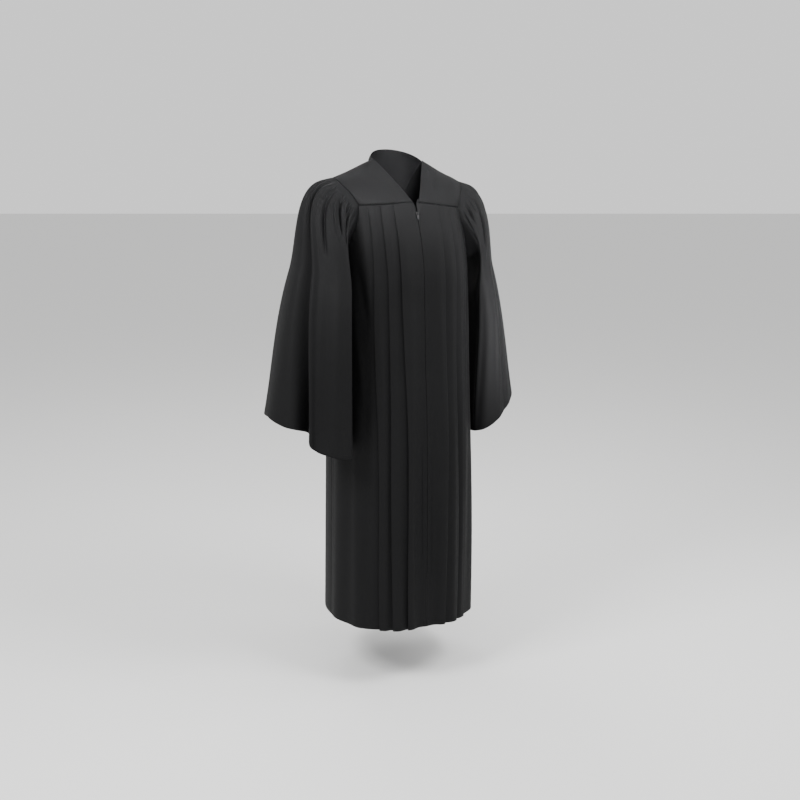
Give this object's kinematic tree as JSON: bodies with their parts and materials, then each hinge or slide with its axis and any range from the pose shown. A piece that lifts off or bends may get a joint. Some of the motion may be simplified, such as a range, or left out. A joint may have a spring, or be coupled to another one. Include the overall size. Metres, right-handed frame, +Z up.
{
  "type": "graduation gown",
  "caption": "Black graduation gown with a pleated front, a gathered back, a zip and open bell sleeves, shaped as worn.",
  "frame": {"origin": "middle of the neck's base, level with the points where the shoulder seams meet the neck", "axes": "+Z up along the wearer's body, -Y the way the wearer faces, +X to the wearer's left"},
  "size_m": [0.7762, 0.3985, 1.3591],
  "materials": {
    "gown_cloth": "matte",
    "zip_tape": "matte",
    "zip_metal": "satin"
  },
  "bodies": {
    "gown": {"front_yoke_right": "gown_cloth", "front_yoke_left": "gown_cloth", "back_yoke": "gown_cloth", "front_right": "gown_cloth", "front_left": "gown_cloth", "back": "gown_cloth", "sleeve_right": "gown_cloth", "sleeve_left": "gown_cloth", "zip_tape_right": "zip_tape", "zip_tape_left": "zip_tape", "zip_chain": "zip_tape", "zip_slider": "zip_metal"},
    "pull_tab": {"zip_pull": "zip_metal"}
  },
  "joints": [
    {"name": "pull_swing", "type": "hinge", "parent": "gown", "child": "pull_tab", "pos_m": [0, -0.1241, -0.13865], "axis": [-1, 0, 0], "range_deg": [0, 150]}
  ]
}
